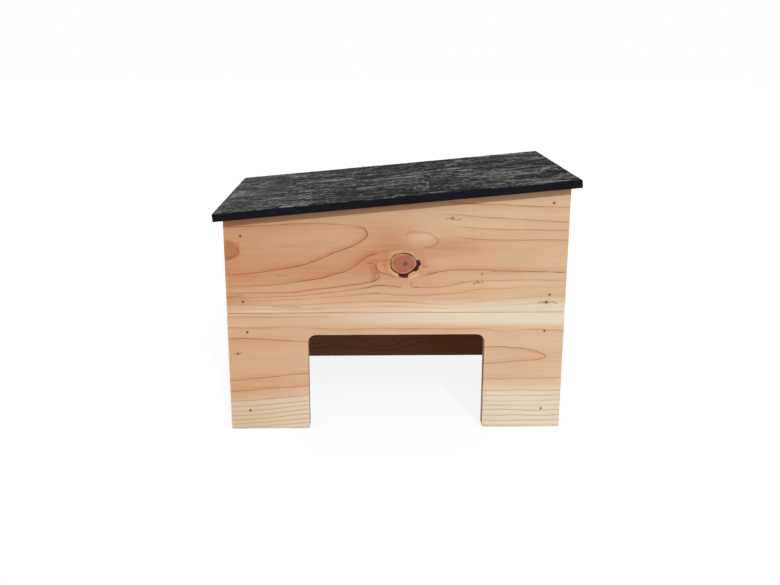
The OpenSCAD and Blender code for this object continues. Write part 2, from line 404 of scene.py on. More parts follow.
def inside(points, loop):
    """Whether each point lies inside a closed outline."""
    x, y = points[:, :1], points[:, 1:]
    x0, y0 = loop.T
    x1, y1 = np.roll(loop, -1, 0).T
    spans = (y0 > y) != (y1 > y)
    rise = np.where(y1 == y0, 1, y1 - y0)
    return (spans & (x < (x1 - x0) * (y - y0) / rise + x0)).sum(1) % 2 == 1


def circle(a, b, radius, count):
    turns = np.arange(count) * 2 * math.pi / count
    return np.stack([a + radius * np.cos(turns), b + radius * np.sin(turns)], 1)


def cap(loop, holes, step, fine_spots):
    """Fills an outline with triangles about a step wide, finer at spots (a, b, radius, fine step).
    Gives the points, with the loop and then the holes first, and the triangles."""
    def within(points):
        kept = inside(points, loop)
        for hole in holes:
            kept &= ~inside(points, hole)
        return kept

    low, high = loop.min(0), loop.max(0)
    rows = enumerate(np.arange(low[1], high[1], step * ROW))
    grid = np.array([(a, b) for k, b in rows for a in np.arange(low[0] + k % 2 * step / 2, high[0], step)])
    for a, b, radius, fine in fine_spots:
        grid = grid[np.hypot(*(grid - (a, b)).T) > radius]
        rings = [circle(a, b, r, max(6, round(TURN * r / fine))) for r in np.arange(fine, radius, fine)]
        grid = np.concatenate([grid, *rings])
    grid = grid[within(grid)]
    edge = np.concatenate([loop, *holes])
    nearest = np.array([np.min(np.sum((edge - p) ** 2, 1)) for p in grid])
    points = np.concatenate([edge, grid[nearest > CLEAR ** 2]])
    edges = []
    for ring in [loop, *holes]:
        numbers = range(len(edges), len(edges) + len(ring))
        edges += zip(numbers, [*numbers[1:], numbers[0]])
    found = delaunay_2d_cdt([Vector(p) for p in points], edges, [], 0, 1e-7)
    source = [ids[0] for ids in found[3]]
    triangles = np.array([[source[v] for v in face] for face in found[2]])
    return points, triangles[within(points[triangles].mean(1))]


def wear(loop, seed):
    """How much more an edge is worn at each point of an outline, from -1 to 1."""
    run = np.cumsum(np.linalg.norm(np.roll(loop, -1, 0) - loop, axis=1))
    phases = np.random.default_rng(seed).uniform(0, TURN, 4)
    return sum(np.sin(run / length + phase) for length, phase in zip((11, 23, 41, 67), phases)) / 4


class Shell:
    """A closed plate with eased edges: its points (a, b, c), their normals and its faces.
    A recess (depth, filled) ends the notches in its outline at the depth. Filled is a function that
    gives the outline without them."""

    def __init__(self, corners, thickness, arris, step, seed, pits=(), fine_spots=(), recess=None):
        self.points = np.zeros((0, 3))
        self.normals = np.zeros((0, 3))
        self.faces = []
        self.loop = rounded(corners, min(step, EDGE_STEP))
        self.easing = easing = arris * (1 + WEAR * wear(self.loop, seed))
        arc = [(math.sin(turn), math.cos(turn)) for turn in np.linspace(0, math.pi / 2, ARRIS_RINGS)]
        walls = max(1, round(thickness / SIDE_STEP))
        straight = (recess[0] if recess else thickness - easing) - easing

        rings = [self.ring(1 - out, easing * (1 - up), out, -up) for out, up in arc]
        rings += [self.ring(0, easing + straight * k / walls, 1.0, 0.0) for k in range(1, walls)]
        if recess:
            depth, filled = recess
            rings.append(self.ring(0, depth, 0.0, 0.0))
            self.loop = filled(self.loop)
            rings.append(self.ring(0, depth + RECESS_SLANT, 0.0, 0.0))
        rings += [self.ring(1 - out, thickness - easing * (1 - up), out, up) for out, up in reversed(arc)]
        for near, far in zip(rings, rings[1:]):
            self.band(near, far)
        self.cover(rings[0], 0.0, -1.0, step, fine_spots, pits)
        self.cover(rings[-1], thickness, 1.0, max(step, INNER_STEP))

    def add(self, places, depth, normals=(0.0, 0.0, 0.0)):
        """Adds points and gives their numbers. A normal of 0 is left to the mesh."""
        start = len(self.points)
        added = np.column_stack([places, np.broadcast_to(depth, len(places))])
        self.points = np.concatenate([self.points, added])
        self.normals = np.concatenate([self.normals, np.broadcast_to(normals, added.shape)])
        return np.arange(start, len(self.points))

    def ring(self, inset, depth, sideways, facing):
        """Points round the outline, moved in by a share of the easing."""
        way = inward(self.loop)
        outward = -way / np.linalg.norm(way, axis=1)[:, None]
        normals = np.column_stack([outward * sideways, np.full(len(way), facing)])
        return self.add(self.loop + way * (self.easing * inset)[:, None], depth, normals)

    def band(self, near, far):
        """Faces between two rings."""
        self.faces += np.stack([near, far, np.roll(far, -1), np.roll(near, -1)], 1).tolist()

    def cover(self, ring, depth, facing, step, fine_spots=(), pits=()):
        """A flat face that closes a ring, with pits for nails in it."""
        holes = [circle(a, b, NAIL_R, PIT_SIDES) for a, b in pits]
        flat, triangles = cap(self.points[ring, :2], holes, step, fine_spots)
        rest = self.add(flat[len(ring):], depth, (0.0, 0.0, facing))
        triangles = np.concatenate([ring, rest])[triangles]
        self.faces += (triangles if facing < 0 else triangles[:, ::-1]).tolist()
        for hole in holes:
            rim, rest = np.split(rest, [len(hole)])
            bottom = self.add(hole, NAIL_PIT)
            self.band(bottom, rim)
            self.faces.append(bottom.tolist())


def add_object(name, data):
    made = bpy.data.objects.new(name, data)
    bpy.context.scene.collection.objects.link(made)
    return made


def piece(name, shell, placing, values, body, look):
    """A mesh in metres, with values of each kind at its points, that stands for the CAD node of its name."""
    mesh = bpy.data.meshes.new(name + "_looks")
    faces = [face[::-1] for face in shell.faces] if placing.flipped else shell.faces
    mesh.from_pydata((placing.world(shell.points) * MM).tolist(), [], faces)
    for kind, data in values.items():
        sort, field = ("FLOAT", "value") if np.ndim(data) == 1 else ("FLOAT_VECTOR", "vector")
        mesh.attributes.new(kind, sort, "POINT").data.foreach_set(field, np.float32(data).ravel())
    mesh.polygons.foreach_set("use_smooth", [True] * len(mesh.polygons))
    mesh.normals_split_custom_set_from_vertices((shell.normals @ placing.axes).tolist())
    mesh.materials.append(look)
    made = add_object(name + "_looks", mesh)
    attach(made, body)
    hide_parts(name)


# What the wood of each piece looks like

MARK_DEEP = 6  # marks are only this near to the outer face
GAP_DEEP = 2.6  # how far the wood is sunk in the gap beside a knot


class Knot:
    """A branch cut across: its place, its two half sizes and where its middle lies. Bark makes a dark rim.
    A gap lists (angle, outer radius) round it."""

    def __init__(self, a, b, wide, high, pith=(0, 0), bark=0.0, gap=()):
        self.at = np.array((a, b), float)
        self.half = np.array((wide, high), float)
        self.pith = np.array(pith, float)
        self.bark = bark
        self.gap = gap

    def spots(self):
        """Where the mesh has to be fine to show it."""
        return [(*self.at, 1.5 * self.half.max(), 0.9)]

    def reach(self, a, b):
        """Radius from the knot's middle, 1 at its rim, and the angle in degrees."""
        away = np.stack([a, b], 1) - self.at
        angle = np.arctan2(away[:, 1] / self.half[1], away[:, 0] / self.half[0])
        rim = 1 + 0.025 * np.sin(3 * angle + 1.0) + 0.018 * np.sin(5 * angle + 2.2)
        radius = np.hypot(*(away / self.half).T) / rim
        shifted = away - self.pith * np.clip(1 - radius, 0, 1)[:, None]
        return np.hypot(*(shifted / self.half).T) / rim, np.degrees(angle)

    def opening(self, radius, angle):
        """How open the wood is beside the knot: 1 in the gap that its dried bark has left."""
        if not self.gap:
            return np.zeros(len(radius))
        outer = np.interp(angle, *zip(*self.gap), left=1, right=1)
        return smooth(radius, 0.99, 1.04) * smooth(outer - radius, 0.0, 0.05)


@dataclass
class Pin:
    """A twig's dark end at (a, b)."""
    a: float
    b: float
    size: float
    strength: float = 1.0

    def spots(self):
        return [(self.a, self.b, 2.5 * self.size, 0.45)]

    def darkness(self, a, b):
        return self.strength * bulge(a, b, self.a, self.b, self.size, self.size)


class Stroke:
    """A short line of dark grain through places on the face, or of pale grain where it is below 0."""

    def __init__(self, strength, *places, width=0.85):
        self.strength = strength
        self.stretches = np.stack([places[:-1], places[1:]], 1)
        self.width = width

    def spots(self):
        made = []
        for start, end in self.stretches:
            parts = math.ceil(np.hypot(*(end - start)) / 4)
            made += [(*place, 3.4, 0.75) for place in np.linspace(start, end, parts + 1)]
        return made

    def darkness(self, a, b):
        here = np.stack([a, b], 1)
        away = np.full(len(a), 99.0)
        for start, end in self.stretches:
            way = end - start
            share = np.clip((here - start) @ way / (way @ way), 0, 1)
            away = np.minimum(away, np.hypot(*(here - start - share[:, None] * way).T))
        return self.strength * np.exp(-(away / self.width) ** 2)


def even(value):
    """The same value all over a piece."""
    return lambda along, *others: np.full(len(along), value)


@dataclass
class Timber:
    """The figure of one piece. Its functions take the places along and across the grain.
    The inner face is redder and darker by the inside amount, which is painted shade inside the house."""
    rings: Callable
    line: Callable
    sap: Callable
    tone: Callable
    knots: list
    marks: list
    upright: bool = False
    inside: float = 0.0

    def values(self, shell, loop, seed):
        """Each point's values for the wood material."""
        a, b, c = shell.points.T
        along, across = (b, a) if self.upright else (a, b)
        ring = self.rings(along, across, c)
        steep = np.hypot(self.rings(along + 1, across, c) - ring, self.rings(along, across + 1, c) - ring)
        knot = np.full(len(a), -3.0)
        bark, crack, dark, pale = np.zeros((4, len(a)))
        for each in self.knots:
            radius, angle = each.reach(a, b)
            bark = np.where(1 - radius > knot, each.bark, bark)
            knot = np.maximum(knot, 1 - radius)
            crack = np.maximum(crack, each.opening(radius, angle))
        for each in self.marks:
            mark = each.darkness(a, b) * (c < MARK_DEEP)
            dark = np.maximum(dark, mark)
            pale = np.minimum(pale, mark)
        to_edge = np.min([np.hypot(a - p[0], b - p[1]) for p in loop], axis=0)
        shift = np.random.default_rng(seed).uniform(-5, 5, 3)
        return dict(
            ring=ring,
            pitch=np.clip(1 / np.maximum(steep, 1e-4), 1.5, 60),
            line=self.line(along, across, ring),
            sap=self.sap(along, across),
            # The inside amount darkens and reddens the inner face as painted shade inside the house.
            tone=self.tone(along, across) - self.inside * smooth(c, 10, 16),
            knot=knot,
            bark=bark,
            crack=crack,
            mark=dark + pale,
            edge=1 - smooth(to_edge, 0.5, 5.0),
            end=smooth(np.abs(shell.normals[:, 1 if self.upright else 0]), 0.5, 0.95),
            grain=np.stack([along, across, c], 1) * MM + shift,
        )


def timber_piece(name, placing, corners, thickness, timber, seed, look, arris=0.8, step=5, pits=(),
                 recess=None):
    """A wooden piece that is open beside its loose knots."""
    spots = [spot for each in (*timber.knots, *timber.marks) for spot in each.spots()]
    shell = Shell(corners, thickness, arris, step, seed, pits, spots, recess)
    values = timber.values(shell, rounded(corners, EDGE_STEP), seed)
    sunk = np.where(shell.points[:, 2] == 0, values["crack"], 0.0)
    shell.points[:, 2] += GAP_DEEP * sunk
    shell.normals[sunk > 0.01] = 0
    piece(name, shell, placing, values, "house", look)


# The wood material

def ring_lines(shader, grain):
    """The rings' dark edges, and the redder late wood that leads up to each."""
    pitch = shader.read("pitch")
    strength = shader.read("line")
    wander = (grain.noise((26, 130, 130), detail=3) - 0.5) * 1.6 / pitch
    ring = shader.read("ring") + wander
    year = (ring + 0.5).math("FLOOR")
    season = ring.math("FRACT")
    before = (1 - season) * pitch
    rise = before.fade(0, (pitch * 0.2).at_least(0.9).at_most(2), 1, 0) ** 1.5
    line = rise.at_least((season * pitch).fade(0.15, 0.65, 1, 0))
    late = before.fade(0, (pitch * 0.6).at_least(2).at_most(13), 1, 0) ** 1.5
    broken = grain.noise((14, 60, 60)).fade(0.28, 0.55, 0.4, 1) * strength
    return line * broken * (0.65 + 0.35 * year.random()), late * broken


def knotted(shader, colour, grain):
    """A colour with the piece's knots in it: rings round a pith, a broken dark rim where bark is left, and
    painted shade in the gap beside a knot.
    """
    knot = shader.read("knot")
    bark = shader.read("bark")
    halo = knot.fade(-0.4, -0.1) * knot.fade(-0.06, -0.01, 1, 0)
    colour = (halo * bark * 0.35).mix(colour, (224, 178, 134))
    growth = grain.noise((160, 160, 160))
    rings = ((knot + 0.06 * growth) * 7).math("FRACT")
    rings = abs(rings - 0.5).fade(0.12, 0.42)
    inner = knot.fade(0.15, 0.7)
    heart = knot.fade(0.02, 0.25).mix((206, 142, 112), (176, 110, 82))
    heart = growth.fade(0.42, 0.62, 0, 0.5).mix(heart, (154, 90, 64))
    heart = inner.mix(heart, (190, 122, 94))
    heart = (rings * (0.2 + 0.7 * inner)).mix(heart, (128, 70, 48))
    pith = abs(knot - 0.86).fade(0.035, 0.07, 0.9, 0)
    heart = pith.mix(heart, (88, 42, 30))
    tight = knot.fade(0, 0.3).mix((194, 126, 86), (186, 120, 82))
    tight = (rings * 0.25).mix(tight, (146, 88, 58))
    soft = knot.fade(-0.05, 0.15)
    sharp = knot.fade(-0.015, 0.015)
    colour = (soft + bark * (sharp - soft)).mix(colour, bark.mix(tight, heart))
    rim = abs(knot + 0.03).fade(0.04, 0.08, 1, 0) * bark * growth.fade(0.35, 0.6, 0.55, 1)
    colour = rim.mix(colour, (96, 48, 31))
    # Painted shade: the gap beside a knot is coloured near black-brown, as if deep in shade.
    gap = growth.fade(0.42, 0.6).mix((50, 19, 15), (72, 30, 22))
    return shader.read("crack").mix(colour, gap)


def wood(name, dark, pale, roughness):
    """Planed softwood, coloured by the rings and features that each piece carries at its points."""
    shader = material(name)
    grain = shader.read("grain", "Vector")
    tone = shader.read("tone")
    mark = shader.read("mark")
    end = shader.read("end")
    line, late = ring_lines(shader, grain)
    mottle = grain.noise((7, 22, 22), detail=3) - 0.5
    streaks = grain.noise((10, 260, 260), detail=4, roughness=0.6) - 0.5
    fibres = grain.noise((34, 1500, 1500))
    pores = grain.noise((70, 900, 900), detail=1)

    colour = (tone + 0.35 * mottle + 0.35 * streaks).mix(dark, pale)
    pale_sap = tone.fade(0.3, 1).mix((216, 189, 156), (233, 213, 189))
    in_sap = (shader.read("sap") + 0.4 * streaks).fade(0, 1)
    colour = in_sap.mix(colour, pale_sap)
    red = in_sap.mix((245, 222, 211), (240, 228, 212))
    colour = late.mix(colour, colour.tinted(red))
    colour = colour.tinted(1 + 0.16 * (fibres - 0.5) - 0.06 * pores.fade(0.62, 0.74))
    colour = colour.darkened((172, 140, 108), line * (1 - 0.35 * in_sap))
    colour = knotted(shader, colour, grain)
    colour = colour.darkened((149, 116, 97), mark.at_least(0))
    colour = (mark * -1).at_least(0).mix(colour, (236, 200, 158))
    colour = (end * 0.3).mix(colour, (150, 104, 74))
    worn = shader.read("edge") * streaks.fade(-0.05, 0.2, 0, 0.28)
    colour = worn.mix(colour, (232, 202, 170))

    relief = 0.5 * line + 0.5 * fibres + (0.25 + 1.2 * end) * pores
    return shader.set(Base_Color=colour, Roughness=roughness + 0.25 * streaks, Specular_IOR_Level=0.14,
                      Normal=relief.bump(0.5, 0.0003))


heartwood = wood("fir", (190, 121, 79), (227, 190, 154), 0.56)
post_wood = wood("post_fir", (190, 140, 100), (226, 194, 160), 0.68)


# Walls

DOOR_W = 263
DOOR_H = 149
DOOR_R = 12
FOOT_R = 3
CORNER_R = 1.6
POST_R = 2.4
NAIL_APART = 6  # points nearer than this belong to the same nail
SEAM = 0.25  # each course stops this far from the seam, as real boards never quite close
LOWER_TOP = LOWER_H - SEAM
UPPER_FOOT = LOWER_H + SEAM
RECESS_FIT = 0.4
RECESS_DEEP = 3.2
RECESS_IN = BACK_Y - box_mm("left_hinge_wall_leaf")[0][1] + RECESS_FIT
RECESS_R = 0.3
RIGHT, UP, BACK = np.eye(3)[[0, 2, 1]]


def nail_places(wall, axis):
    """The middles of a wall's nails, in its lower and in its upper board. The axis runs along the wall."""
    points = np.array([v.co for v in frame["nodes"][wall + "_nails"].data.vertices])[:, [axis, 2]] / MM
    places = [], []
    while len(points):
        near = np.hypot(*(points - points[0]).T) < NAIL_APART
        a, b = (points[near].min(0) + points[near].max(0)) / 2
        places[b > LOWER_H].append((a, b))
        points = points[~near]
    return places


def nail_bruise_and_shade_marks(nails):
    """Bruised wood round each nail, darkened also as painted shade round the nail's pit."""
    return [Pin(*nail, 1.4, 1.1) for nail in nails]


def four_sided(left, right, low, left_top, right_top, radius=CORNER_R):
    """The corners (a, b, radius) of an outline with upright sides."""
    places = (left, low), (right, low), (right, right_top), (left, left_top)
    return [(*place, radius) for place in places]


def doorway():
    """The corners of the way in, from the left foot to the right one."""
    side = DOOR_W / 2
    return [(-side, 0, FOOT_R), (-side, DOOR_H, DOOR_R), (side, DOOR_H, DOOR_R), (side, 0, FOOT_R)]


def patched(base, rise, patches):
    """How pale a board is, from 0 to 1: rising to the right, with broad soft patches on it.
    A patch is (place along, height, half its length, half its height, how much paler)."""
    def tone(along, across):
        soft = sum(paler * bulge(along, across, *place) for *place, paler in patches)
        return base + rise * along / (2 * HALF) + soft
    return tone


def front_upper_line(along, across, ring):
    """How strong the rings' edges are. They give way to strokes round the main knot."""
    low = np.interp(ring, [0, 1, 2, 3, 4, 6, 7.5], [0.85, 0.85, 0.65, 0.5, 0.4, 0.3, 0.25])
    low *= np.interp(along, [-250, -200, -140, 0, 90, 250], [0.35, 0.6, 0.95, 1, 0.65, 0.55])
    high = np.interp(ring, [0, 1, 2, 3, 4, 5], [0.45, 0.45, 0.35, 0.38, 0.55, 0.6])
    left_limit = 300 + 14 * smooth(along, -90, -60)
    right_limit = 290 - 20 * smooth(along, 40, 60)
    strength = np.where(across > np.where(along < -30, left_limit, right_limit), high, low)
    above = window(along, -40, -28, 84, 108) * window(across, 272, 280, 322, 330)
    beside = window(along, -32, -26, 40, 48) * window(across, 226, 231, 272, 282)
    below = window(along, 3, 9, 22, 30) * window(across, 214, 217, 226, 231)
    top = 0.85 * window(along, -130, -100, 50, 110) * smooth(across, 317, 323)
    return strength * (1 - np.max([above, beside, below, top], axis=0))


def front_upper_sap(along, across):
    edge = np.interp(along, [-250, -150, -60, 60, 160, 250], [192, 187, 190, 194, 197, 201])
    amount = np.interp(along, [-250, -105, -15, 75, 165], [0.15, 0.3, 0.55, 0.85, 1])
    return amount * (1 - smooth(across, edge - 14, edge + 18))


front_upper_tone = patched(0.52, 0.48, [
    (-245, 272, 50, 34, -0.06), (-110, 250, 60, 12, -0.06), (-10, 262, 60, 26, -0.36),
    (80, 282, 50, 15, -0.26), (36, 294, 22, 10, 0.34), (-110, 300, 60, 16, 0.06), (-200, 186, 110, 12, 0.5),
    (30, 188, 160, 13, 0.35), (-170, 214, 120, 14, 0.2), (0, 206, 90, 14, 0.16), (60, 258, 26, 14, 0.14),
    (120, 314, 50, 14, 0.18), (0, 330, 220, 12, 0.1), (170, 247, 80, 6, -0.14), (-12, 300, 42, 20, -0.2),
    (160, 228, 90, 18, 0.14), (165, 340, 90, 14, 0.14)])


def front_lower_line(along, across, ring):
    strength = np.interp(ring, [0, 1, 2, 3, 9], [0.55, 0.42, 0.5, 0.55, 0.5])
    return strength * (1 - smooth(across, 164, 168))


def front_lower_sap(along, across):
    amount = np.interp(along, [-250, -105, -15, 75, 165], [0.1, 0.3, 0.6, 0.85, 1])
    low_edge = np.interp(along, [-250, -130, 130], [44, 54, 62])
    return np.maximum(amount * smooth(across, 157, 172), 1 - smooth(across, low_edge - 16, low_edge + 22))


front_lower_tone = patched(0.77, 0.3, [
    (-245, 20, 70, 40, -0.25), (-240, 75, 90, 18, -0.15), (-225, 143, 60, 12, -0.12),
    (190, 112, 50, 22, -0.15)])

MAIN_KNOT = Knot(9.5, 258, 18.6, 15.2, pith=(3.8, -0.6), bark=1.0, gap=(
    (-113, 1.0), (-109, 1.18), (-104, 1.37), (-89, 1.44), (-76, 1.48), (-71, 1.2), (-56, 1.16), (-45, 1.2),
    (-39, 1.36), (-29, 1.38), (-17, 1.27), (-6, 1.36), (5, 1.32), (14, 1.24), (18, 1.0)))

FRONT_UPPER_MARKS = [
    # Grain that bends round the main knot
    Stroke(0.4, (-37, 230.5), (-28.5, 234), (-25, 238), (-27.5, 243.5), (-30.5, 250.5), (-32, 255.5)),
    Stroke(0.16, (-33, 238), (-32, 246), (-36, 252), width=3.5),
    Stroke(0.4, (-27.5, 263), (-30.5, 256), (-28.5, 249.5), (-24, 244.5), (-16.5, 242.5), (-9.5, 240),
           (-1, 237.5), width=0.7),
    Stroke(-0.4, (-28, 260.5), (-28, 255), (-25.5, 249.5), (-20, 246)),
    Stroke(-0.35, (-24, 259.5), (-23.5, 253.5), (-19, 250)),
    Stroke(-0.45, (-12, 249), (-5, 243.5), (0.5, 240)),
    Stroke(0.3, (-43.5, 259), (-36, 258.5)),
    Stroke(0.2, (-18.5, 263), (-10, 263.5)),
    Stroke(-0.35, (-11, 273), (-4, 275.5), (5, 277)),
    Stroke(-0.4, (22, 275), (28, 270.5), (32, 265.5)),
    Stroke(0.45, (25, 273), (30, 267.5), (34, 261.5), width=0.7),
    Stroke(0.25, (38, 263), (39.5, 258), (38, 252.5)),
    Stroke(0.35, (38.5, 252), (45.5, 254)),
    Stroke(0.25, (39, 240), (49, 241.5), (58, 244)),
    Stroke(-0.6, (19.5, 236), (25, 238.5), (31, 242), width=1.3),
    Stroke(0.3, (28, 232), (21.5, 228), (19.5, 226), (22.5, 223), (30, 222)),
    Stroke(-0.3, (24, 230), (30, 234)),
    Stroke(0.2, (-43, 221.5), (-31.5, 225.5), (-18.5, 225)),
    Stroke(0.2, (-39.5, 212.5), (-25, 213)),
    # The pale oval over the knot
    Stroke(0.15, (13.5, 298.5), (15, 302.5), (20.5, 304.5), (30.5, 305), (40, 304.5), (48, 301.5),
           (54.5, 297.5), width=1.1),
    Stroke(0.22, (54.5, 297.5), (60, 293), (59.5, 289), (56, 285), (50.5, 283), (40.5, 282.5), width=1.3),
    # The half knot at the left end
    Stroke(0.22, (-247, 293), (-239, 290.5), (-229, 287), (-230.5, 280), (-227.5, 273.5), (-235, 267.5),
           (-246, 263.5), width=1.2),
    Stroke(0.22, (-244.5, 266.5), (-235, 269.5), (-229, 273.5), width=1.6),
    # Dashes, twigs and specks
    Stroke(0.25, (-175.5, 241), (-159.5, 241), width=0.7),
    Stroke(0.25, (-247.5, 207.5), (-237.5, 209.5), (-225.5, 210)),
    Stroke(0.2, (-182, 194), (-170, 192), (-142.5, 192)),
    Stroke(0.25, (140, 245.5), (192, 245), (220, 245.5), width=0.7),
    Stroke(0.35, (234, 244), (245.5, 244), width=0.7),
    Pin(80, 324.5, 1.9, 0.8),
    Stroke(0.35, (71.5, 324), (79, 324.5), (85, 322), (93, 323.5), width=0.8),
    Pin(125, 242, 1.3, 0.6),
    Pin(120, 229, 1.3, 1.0),
    *(Pin(a, b, 1.1, 0.6) for a, b in ((113.5, 227), (115.5, 228.5), (125.5, 229.5), (117.5, 231))),
    Pin(221.5, 198.5, 1.9, 1.4),
    Stroke(0.5, (209, 197), (214, 199), (221, 199), (230.5, 199), (238, 196.5), width=0.7),
    Stroke(0.3, (215.5, 197), (226.5, 197), width=0.7),
    # A painted highlight along the arris over the seam
    Stroke(-0.45, (-243, 185.2), (-172, 185.4)),
    Stroke(-0.35, (70, 185.6), (244, 186)),
]

FRONT_LOWER_MARKS = [
    Pin(-236, 120.8, 1.6, 0.85),
    Stroke(0.45, (-241.5, 120), (-236, 120.8), (-231, 121.5), width=0.7),
    Stroke(0.2, (-249, 177), (-215, 177.5), (-190, 176.5), (-150, 177.5)),
    Stroke(0.15, (-150, 177.5), (-100, 178)),
]


def plain_timber(seed, middle, knots=(), marks=(), pale=0.0, sap_below=-99, sap_above=999, inside=0.0):
    """A board that the photograph doesn't show, in the same wood. Its rings are nested round the middle."""
    def sap(along, across):
        low = 1 - smooth(across, sap_below - 10, sap_below + 8)
        return np.maximum(low, smooth(across, sap_above - 8, sap_above + 10))

    def tone(along, across):
        return 0.6 + pale + 0.14 * np.sin(along / 130 + seed) + 0.1 * np.sin(across / 31 + along / 260 + seed)

    def line(along, across, ring):
        return 0.38 + 0.18 * np.sin(1.7 * ring + seed) + 0.1 * np.sin(along / 90 + seed)

    return Timber(sawn_rings(seed, middle, knots), line, sap, tone, knots, marks, inside=inside)


def hinge_notch(side):
    """The corners of the recess for a hinge's closed leaves in the back board's top edge."""
    low, high = box_mm(side + "_hinge_wall_leaf")
    right, left = high[0] + RECESS_FIT, low[0] - RECESS_FIT
    below = RECESS_DEEP / math.cos(SLOPE)
    places = (right, 0, CORNER_R), (right, below, RECESS_R), (left, below, RECESS_R), (left, 0, CORNER_R)
    return [(x, wall_top(x) - down, radius) for x, down, radius in places]


def without_notches(loop):
    """The back board's outline with its hinge recesses filled, point for point."""
    filled = loop.copy()
    down = wall_top(loop[:, 0]) - loop[:, 1]
    sunk = (down > 0.01) & (down < 2 * RECESS_DEEP) & (np.abs(loop[:, 0]) < HALF - 10)
    for side in (-1, 1):
        within = np.nonzero(sunk & (side * loop[:, 0] > 0))[0]
        x = np.linspace(loop[within[0] - 1, 0], loop[within[-1] + 1, 0], len(within) + 2)[1:-1]
        filled[within] = np.stack([x, wall_top(x)], 1)
    return filled


def wall(name, origin, along, into, upper, lower, seed, step=5, door=(), notches=()):
    """An upper and a lower board on the wall's nails. Its top edge follows the roof's slope."""
    axis = np.argmax(along)
    left, right = (corner[axis] for corner in box_mm(name + "_upper_board"))
    left_top, right_top = (wall_top(origin[0] + end * along[0]) for end in (left, right))
    lower_nails, upper_nails = nail_places(name, axis)
    corners = four_sided(left, right, UPPER_FOOT, left_top, right_top)
    corners[3:3] = notches
    lean = LOWER_H, left_top, into[0] * math.tan(SLOPE)
    timber_piece(name + "_upper_board", Placing(origin, along, UP, into, lean), corners, BOARD_T, upper, seed,
                 heartwood, step=step, pits=upper_nails,
                 recess=(RECESS_IN, without_notches) if notches else None)
    corners = four_sided(left, right, 0, LOWER_TOP, LOWER_TOP)
    corners[1:1] = door
    timber_piece(name + "_lower_board", Placing(origin, along, UP, into), corners, BOARD_T, lower, seed + 1,
                 heartwood, step=step, pits=lower_nails)


def corner_post(name, seed):
    low, high = box_mm(name)
    fall = (high[0] - low[0]) * math.tan(SLOPE)
    placing = Placing((0, low[1], 0), RIGHT, UP, BACK)
    corners = four_sided(low[0], high[0], low[2], high[2] - fall, high[2], POST_R)
    timber = Timber(straight_rings(seed), even(0.55), even(0.0), even(0.45), [], [], upright=True)
    timber_piece(name, placing, corners, high[1] - low[1], timber, seed, post_wood, arris=1.4)


lower_nails, upper_nails = nail_places("front", 0)
wall("front", (0, FRONT_Y, 0), RIGHT, BACK,
     Timber(smooth_field(FRONT_UPPER_RINGS, 275), front_upper_line, front_upper_sap, front_upper_tone,
            [MAIN_KNOT, Knot(-HALF, 278, 22.5, 15)], FRONT_UPPER_MARKS + nail_bruise_and_shade_marks(upper_nails)),
     Timber(smooth_field(FRONT_LOWER_RINGS, 110), front_lower_line, front_lower_sap, front_lower_tone,
            [], FRONT_LOWER_MARKS + nail_bruise_and_shade_marks(lower_nails)),
     seed=11, step=3, door=doorway())
wall("back", (0, BACK_Y, 0), RIGHT, -BACK,
     plain_timber(21, 268, [Knot(-92, 262, 12, 9, pith=(2, 0), bark=0.8)], [Pin(140, 300, 1.8)],
                  sap_below=202),
     # The lower back board's inner face gets painted shade, redder and darker, inside the house.
     plain_timber(22, 90, [Knot(120, 84, 10, 8, bark=0.3)], [Pin(-60, 120, 1.6)], pale=0.1, sap_above=152,
                  inside=0.32),
     seed=21, notches=hinge_notch("right") + hinge_notch("left"))
wall("left", (-HALF, 0, 0), BACK, RIGHT,
     plain_timber(31, 262, [Knot(60, 268, 14, 11, pith=(2, 1), bark=0.9)], sap_below=200),
     plain_timber(32, 80, marks=[Pin(-70, 60, 1.6)], pale=0.1, sap_above=158),
     seed=31)
wall("right", (HALF, 0, 0), BACK, -RIGHT,
     plain_timber(41, 280, marks=[Pin(-30, 300, 1.8)], pale=0.05),
     plain_timber(42, 100, [Knot(-40, 96, 11, 9, pith=(1, 1), bark=0.4)], pale=0.12, sap_below=40,
                  sap_above=160),
     seed=41)
for number, post in enumerate(("front_left_post", "front_right_post", "back_left_post", "back_right_post")):
    corner_post(post, 51 + number)


# Roof of strand board, painted black

STRAND_TOP = 0.5
STRAND_UNDER = 0.3
STRAND_MARGIN = 0.9
STRAND_BITE = 0.1  # how far a strand's rim goes into the panel
PANEL_R = 1.4
LONG_CUTS = (-0.5, -0.485, -0.32, -0.11, 0.11, 0.32, 0.485, 0.5)
WIDE_CUTS = (-0.5, -0.46, -0.16, 0.16, 0.46, 0.5)
CHIP_CUTS = (-0.5, -0.42, 0.42, 0.5)

roof_low, roof_high = box_mm("roof_panel")
COS, SIN = math.cos(SLOPE), math.sin(SLOPE)
ROOF_LENGTH, ROOF_T = np.linalg.solve([[COS, SIN], [SIN, COS]], (roof_high - roof_low)[[0, 2]])
ROOF_DEPTH = roof_high[1] - roof_low[1]


